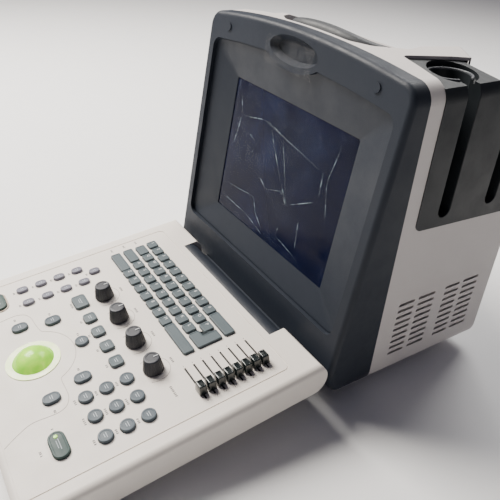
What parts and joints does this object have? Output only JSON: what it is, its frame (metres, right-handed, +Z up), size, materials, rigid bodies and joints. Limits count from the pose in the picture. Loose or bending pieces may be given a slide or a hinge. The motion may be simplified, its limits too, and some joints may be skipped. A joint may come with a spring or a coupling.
{
  "type": "portable ultrasound scanner",
  "caption": "Bench-top ultrasound scanner with a leaning screen, probe holders, carrying handle and a folding control console with keys, knobs, sliders and a trackball.",
  "frame": {"origin": "on the table under the middle of the machine's bounding box", "axes": "+Z up, +Y from the control console towards the back of the body, +X to the right as the operator sees it"},
  "size_m": [0.331, 0.533, 0.3538],
  "materials": {
    "frame_dark": "satin textured moulding",
    "screen": "dark display glass, switched on at low brightness",
    "shell_light": "fine textured moulding",
    "pod_dark": "satin",
    "handle_grey": "satin",
    "ring_grey": "smooth rim",
    "rubber_black": "matt rubber",
    "steel": "brushed",
    "board_green": "solder mask",
    "fan_black": "matt",
    "console_light": "fine textured moulding with a printed overlay",
    "key_grey": "soft touch keys",
    "button_grey": "soft touch buttons",
    "button_lilac": "soft touch buttons",
    "freeze_dark": "dark translucent button",
    "knob_charcoal": "satin",
    "slider_black": "gloss",
    "ball_green": "lit from inside",
    "ball_ring": "lit from inside"
  },
  "bodies": {
    "housing": {"front_frame": "frame_dark", "screen_bezel": "frame_dark", "screen_glass": "screen", "lcd_module": "steel", "main_shell": "shell_light", "base_tray": "shell_light", "probe_pod": "pod_dark", "cup_rings": "ring_grey", "handle": "handle_grey", "feet": "rubber_black", "bumpers": "frame_dark", "hinge_block": "frame_dark", "hinge_pins": "steel", "chassis": "steel", "main_board": "board_green", "power_supply": "steel", "speaker": "steel", "fan_frame": "fan_black", "rear_panel": "pod_dark", "ac_inlet": "fan_black", "rear_ports": "steel", "socket_panel": "pod_dark", "probe_sockets": "fan_black"},
    "fan_wheel": {"fan_rotor": "fan_black"},
    "console": {"console_top": "console_light", "console_bottom": "console_light", "console_feet": "rubber_black", "control_board": "board_green", "key_mat": "rubber_black", "control_sensors": "steel", "trackball_ring": "ball_ring"},
    "ball": {"trackball": "ball_green"},
    "keys_row_1": {"keys_row_1": "key_grey"},
    "keys_row_2": {"keys_row_2": "key_grey"},
    "keys_row_3": {"keys_row_3": "key_grey"},
    "keys_row_4": {"keys_row_4": "key_grey"},
    "round_buttons_left": {"round_buttons_left": "button_grey"},
    "round_buttons_middle": {"round_buttons_middle": "button_grey"},
    "round_buttons_right": {"round_buttons_right": "button_grey"},
    "freeze_button": {"freeze_button": "freeze_dark"},
    "power_button": {"power_button": "freeze_dark"},
    "select_button_right": {"select_button_right": "button_grey"},
    "cursor_button_right": {"cursor_button_right": "button_grey"},
    "select_button_left": {"select_button_left": "button_grey"},
    "cursor_button_left": {"cursor_button_left": "button_grey"},
    "centre_button": {"centre_button": "button_grey"},
    "function_buttons": {"function_buttons": "button_lilac"},
    "mode_keys": {"mode_keys": "key_grey"},
    "knob_1": {"knob_1": "knob_charcoal"},
    "knob_2": {"knob_2": "knob_charcoal"},
    "knob_3": {"knob_3": "knob_charcoal"},
    "knob_4": {"knob_4": "knob_charcoal"},
    "tgc_slider_1": {"tgc_slider_1": "slider_black"},
    "tgc_slider_2": {"tgc_slider_2": "slider_black"},
    "tgc_slider_3": {"tgc_slider_3": "slider_black"},
    "tgc_slider_4": {"tgc_slider_4": "slider_black"},
    "tgc_slider_5": {"tgc_slider_5": "slider_black"},
    "tgc_slider_6": {"tgc_slider_6": "slider_black"},
    "tgc_slider_7": {"tgc_slider_7": "slider_black"},
    "tgc_slider_8": {"tgc_slider_8": "slider_black"}
  },
  "joints": [
    {"name": "console_fold", "type": "hinge", "parent": "housing", "child": "console", "pos_m": [0, 0.01326, 0.05592], "axis": [-1, 0, 0], "range_deg": [0, 98]},
    {"name": "fan_spin", "type": "hinge", "parent": "housing", "child": "fan_wheel", "pos_m": [0.06, 0.2495, 0.143], "axis": [0, 1, 0], "continuous": true},
    {"name": "trackball_roll", "type": "hinge", "parent": "console", "child": "ball", "pos_m": [-0.005, -0.20822, 0.03441], "axis": [1, 0, 0], "continuous": true},
    {"name": "keys_row_1_press", "type": "slide", "parent": "console", "child": "keys_row_1", "axis": [0, 0.1132, -0.9936], "range_m": [0, 0.0015], "stiffness_N_per_m": 500, "springref_m": -0.002},
    {"name": "keys_row_2_press", "type": "slide", "parent": "console", "child": "keys_row_2", "axis": [0, 0.1132, -0.9936], "range_m": [0, 0.0015], "stiffness_N_per_m": 500, "springref_m": -0.002},
    {"name": "keys_row_3_press", "type": "slide", "parent": "console", "child": "keys_row_3", "axis": [0, 0.1132, -0.9936], "range_m": [0, 0.0015], "stiffness_N_per_m": 500, "springref_m": -0.002},
    {"name": "keys_row_4_press", "type": "slide", "parent": "console", "child": "keys_row_4", "axis": [0, 0.1132, -0.9936], "range_m": [0, 0.0015], "stiffness_N_per_m": 500, "springref_m": -0.002},
    {"name": "round_buttons_left_press", "type": "slide", "parent": "console", "child": "round_buttons_left", "axis": [0, 0.1132, -0.9936], "range_m": [0, 0.0015], "stiffness_N_per_m": 500, "springref_m": -0.002},
    {"name": "round_buttons_middle_press", "type": "slide", "parent": "console", "child": "round_buttons_middle", "axis": [0, 0.1132, -0.9936], "range_m": [0, 0.0015], "stiffness_N_per_m": 500, "springref_m": -0.002},
    {"name": "round_buttons_right_press", "type": "slide", "parent": "console", "child": "round_buttons_right", "axis": [0, 0.1132, -0.9936], "range_m": [0, 0.0015], "stiffness_N_per_m": 500, "springref_m": -0.002},
    {"name": "freeze_button_press", "type": "slide", "parent": "console", "child": "freeze_button", "axis": [0, 0.1132, -0.9936], "range_m": [0, 0.0015], "stiffness_N_per_m": 500, "springref_m": -0.002},
    {"name": "power_button_press", "type": "slide", "parent": "console", "child": "power_button", "axis": [0, 0.1132, -0.9936], "range_m": [0, 0.0015], "stiffness_N_per_m": 500, "springref_m": -0.002},
    {"name": "select_button_right_press", "type": "slide", "parent": "console", "child": "select_button_right", "axis": [0, 0.1132, -0.9936], "range_m": [0, 0.0015], "stiffness_N_per_m": 500, "springref_m": -0.002},
    {"name": "cursor_button_right_press", "type": "slide", "parent": "console", "child": "cursor_button_right", "axis": [0, 0.1132, -0.9936], "range_m": [0, 0.0015], "stiffness_N_per_m": 500, "springref_m": -0.002},
    {"name": "select_button_left_press", "type": "slide", "parent": "console", "child": "select_button_left", "axis": [0, 0.1132, -0.9936], "range_m": [0, 0.0015], "stiffness_N_per_m": 500, "springref_m": -0.002},
    {"name": "cursor_button_left_press", "type": "slide", "parent": "console", "child": "cursor_button_left", "axis": [0, 0.1132, -0.9936], "range_m": [0, 0.0015], "stiffness_N_per_m": 500, "springref_m": -0.002},
    {"name": "centre_button_press", "type": "slide", "parent": "console", "child": "centre_button", "axis": [0, 0.1132, -0.9936], "range_m": [0, 0.0015], "stiffness_N_per_m": 500, "springref_m": -0.002},
    {"name": "function_buttons_press", "type": "slide", "parent": "console", "child": "function_buttons", "axis": [0, 0.1132, -0.9936], "range_m": [0, 0.0015], "stiffness_N_per_m": 500, "springref_m": -0.002},
    {"name": "mode_keys_press", "type": "slide", "parent": "console", "child": "mode_keys", "axis": [0, 0.1132, -0.9936], "range_m": [0, 0.0015], "stiffness_N_per_m": 500, "springref_m": -0.002},
    {"name": "knob_1_turn", "type": "hinge", "parent": "console", "child": "knob_1", "pos_m": [-0.0598, -0.11408, 0.06053], "axis": [0, -0.1132, 0.9936], "continuous": true},
    {"name": "knob_2_turn", "type": "hinge", "parent": "console", "child": "knob_2", "pos_m": [-0.015, -0.11408, 0.06053], "axis": [0, -0.1132, 0.9936], "continuous": true},
    {"name": "knob_3_turn", "type": "hinge", "parent": "console", "child": "knob_3", "pos_m": [0.0299, -0.11408, 0.06053], "axis": [0, -0.1132, 0.9936], "continuous": true},
    {"name": "knob_4_turn", "type": "hinge", "parent": "console", "child": "knob_4", "pos_m": [0.0748, -0.11408, 0.06053], "axis": [0, -0.1132, 0.9936], "continuous": true},
    {"name": "tgc_slider_1_slide", "type": "slide", "parent": "console", "child": "tgc_slider_1", "axis": [1, 0, 0], "range_m": [-0.0327, 0.0067]},
    {"name": "tgc_slider_2_slide", "type": "slide", "parent": "console", "child": "tgc_slider_2", "axis": [1, 0, 0], "range_m": [-0.0327, 0.0067]},
    {"name": "tgc_slider_3_slide", "type": "slide", "parent": "console", "child": "tgc_slider_3", "axis": [1, 0, 0], "range_m": [-0.0327, 0.0067]},
    {"name": "tgc_slider_4_slide", "type": "slide", "parent": "console", "child": "tgc_slider_4", "axis": [1, 0, 0], "range_m": [-0.0327, 0.0067]},
    {"name": "tgc_slider_5_slide", "type": "slide", "parent": "console", "child": "tgc_slider_5", "axis": [1, 0, 0], "range_m": [-0.0327, 0.0067]},
    {"name": "tgc_slider_6_slide", "type": "slide", "parent": "console", "child": "tgc_slider_6", "axis": [1, 0, 0], "range_m": [-0.0327, 0.0067]},
    {"name": "tgc_slider_7_slide", "type": "slide", "parent": "console", "child": "tgc_slider_7", "axis": [1, 0, 0], "range_m": [-0.0327, 0.0067]},
    {"name": "tgc_slider_8_slide", "type": "slide", "parent": "console", "child": "tgc_slider_8", "axis": [1, 0, 0], "range_m": [-0.0327, 0.0067]}
  ]
}
